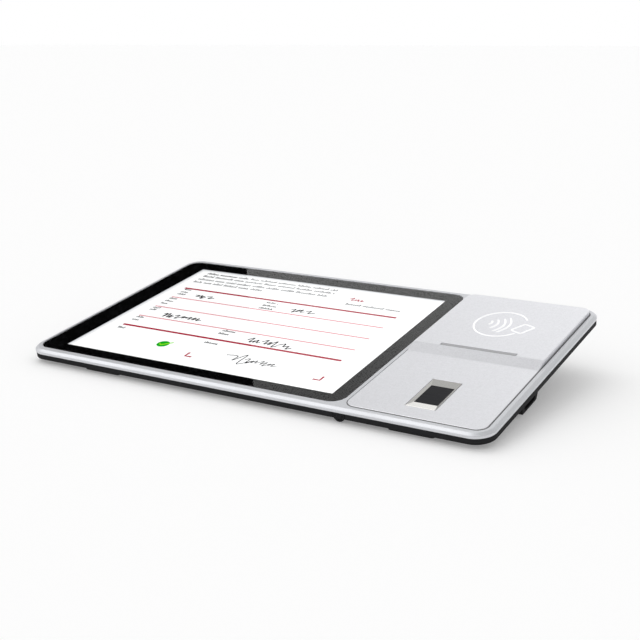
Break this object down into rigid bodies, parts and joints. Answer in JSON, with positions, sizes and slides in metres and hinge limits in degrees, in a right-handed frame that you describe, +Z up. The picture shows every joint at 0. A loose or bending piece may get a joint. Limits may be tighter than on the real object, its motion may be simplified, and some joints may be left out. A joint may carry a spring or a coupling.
{
  "type": "signature pad",
  "caption": "Tilted counter signature pad with a glass-covered display, a silver control panel with a fingerprint reader and tap area, and a flip stand.",
  "frame": {"origin": "on the table, below the middle of the pad's overall box", "axes": "+X to the right along the pad's long side, +Y from the front edge to the raised rear, +Z up"},
  "size_m": [0.3382, 0.1872, 0.0415],
  "materials": {
    "silver_frame": "fine satin",
    "silver_paint": "fine silver paint",
    "black_plastic": "fine moulded grain",
    "black_rubber": "matt",
    "cover_glass": "polished",
    "black_ink": "printed black under glass",
    "lit_display": "lit white display",
    "bright_metal": "bright satin",
    "sensor_glass": "polished dark",
    "frosted_bar": "frosted",
    "plated_steel": "zinc plated",
    "circuit_board": "solder mask",
    "cable_film": "polyimide film",
    "rating_film": "satin film"
  },
  "bodies": {
    "root": {"top_frame": "silver_frame", "cover_glass": "cover_glass", "bezel_mask": "black_ink", "display_panel": "lit_display", "backlight_tray": "plated_steel", "pen_sensor_board": "circuit_board", "chassis_plate": "plated_steel", "base_shell": "black_plastic", "control_panel": "silver_paint", "light_bar": "frosted_bar", "light_bar_board": "circuit_board", "fingerprint_surround": "bright_metal", "fingerprint_window": "sensor_glass", "fingerprint_module": "black_plastic", "main_board": "circuit_board", "processor_shield": "plated_steel", "antenna_board": "circuit_board", "port_housing": "black_plastic", "port_board": "circuit_board", "usb_socket": "plated_steel", "port_ribbon": "cable_film", "antenna_ribbon": "cable_film", "fingerprint_ribbon": "cable_film", "display_ribbon": "cable_film", "microphone_cap": "black_plastic", "microphone_capsule": "plated_steel", "front_foot_left": "black_rubber", "front_foot_right": "black_rubber", "hinge_bracket_left": "plated_steel", "hinge_bracket_right": "plated_steel", "hinge_pin_left": "plated_steel", "hinge_pin_right": "plated_steel", "rating_plate": "rating_film", "base_screw_1": "plated_steel", "base_screw_2": "plated_steel", "base_screw_3": "plated_steel", "base_screw_4": "plated_steel", "base_screw_5": "plated_steel", "base_screw_6": "plated_steel", "base_screw_7": "plated_steel", "base_screw_8": "plated_steel", "port_screw_1": "plated_steel", "port_screw_2": "plated_steel", "port_screw_3": "plated_steel", "port_screw_4": "plated_steel", "board_screw_1": "plated_steel", "board_screw_2": "plated_steel", "board_screw_3": "plated_steel", "board_screw_4": "plated_steel", "bracket_screw_1": "plated_steel", "bracket_screw_2": "plated_steel", "bracket_screw_3": "plated_steel", "bracket_screw_4": "plated_steel"},
    "stand": {"stand_plate": "black_plastic", "stand_shoe": "black_rubber"}
  },
  "joints": [
    {"name": "stand_fold", "type": "hinge", "parent": "root", "child": "stand", "pos_m": [0, 0.06189, 0.02337], "axis": [-1, 0, 0], "range_deg": [0, 95]}
  ]
}
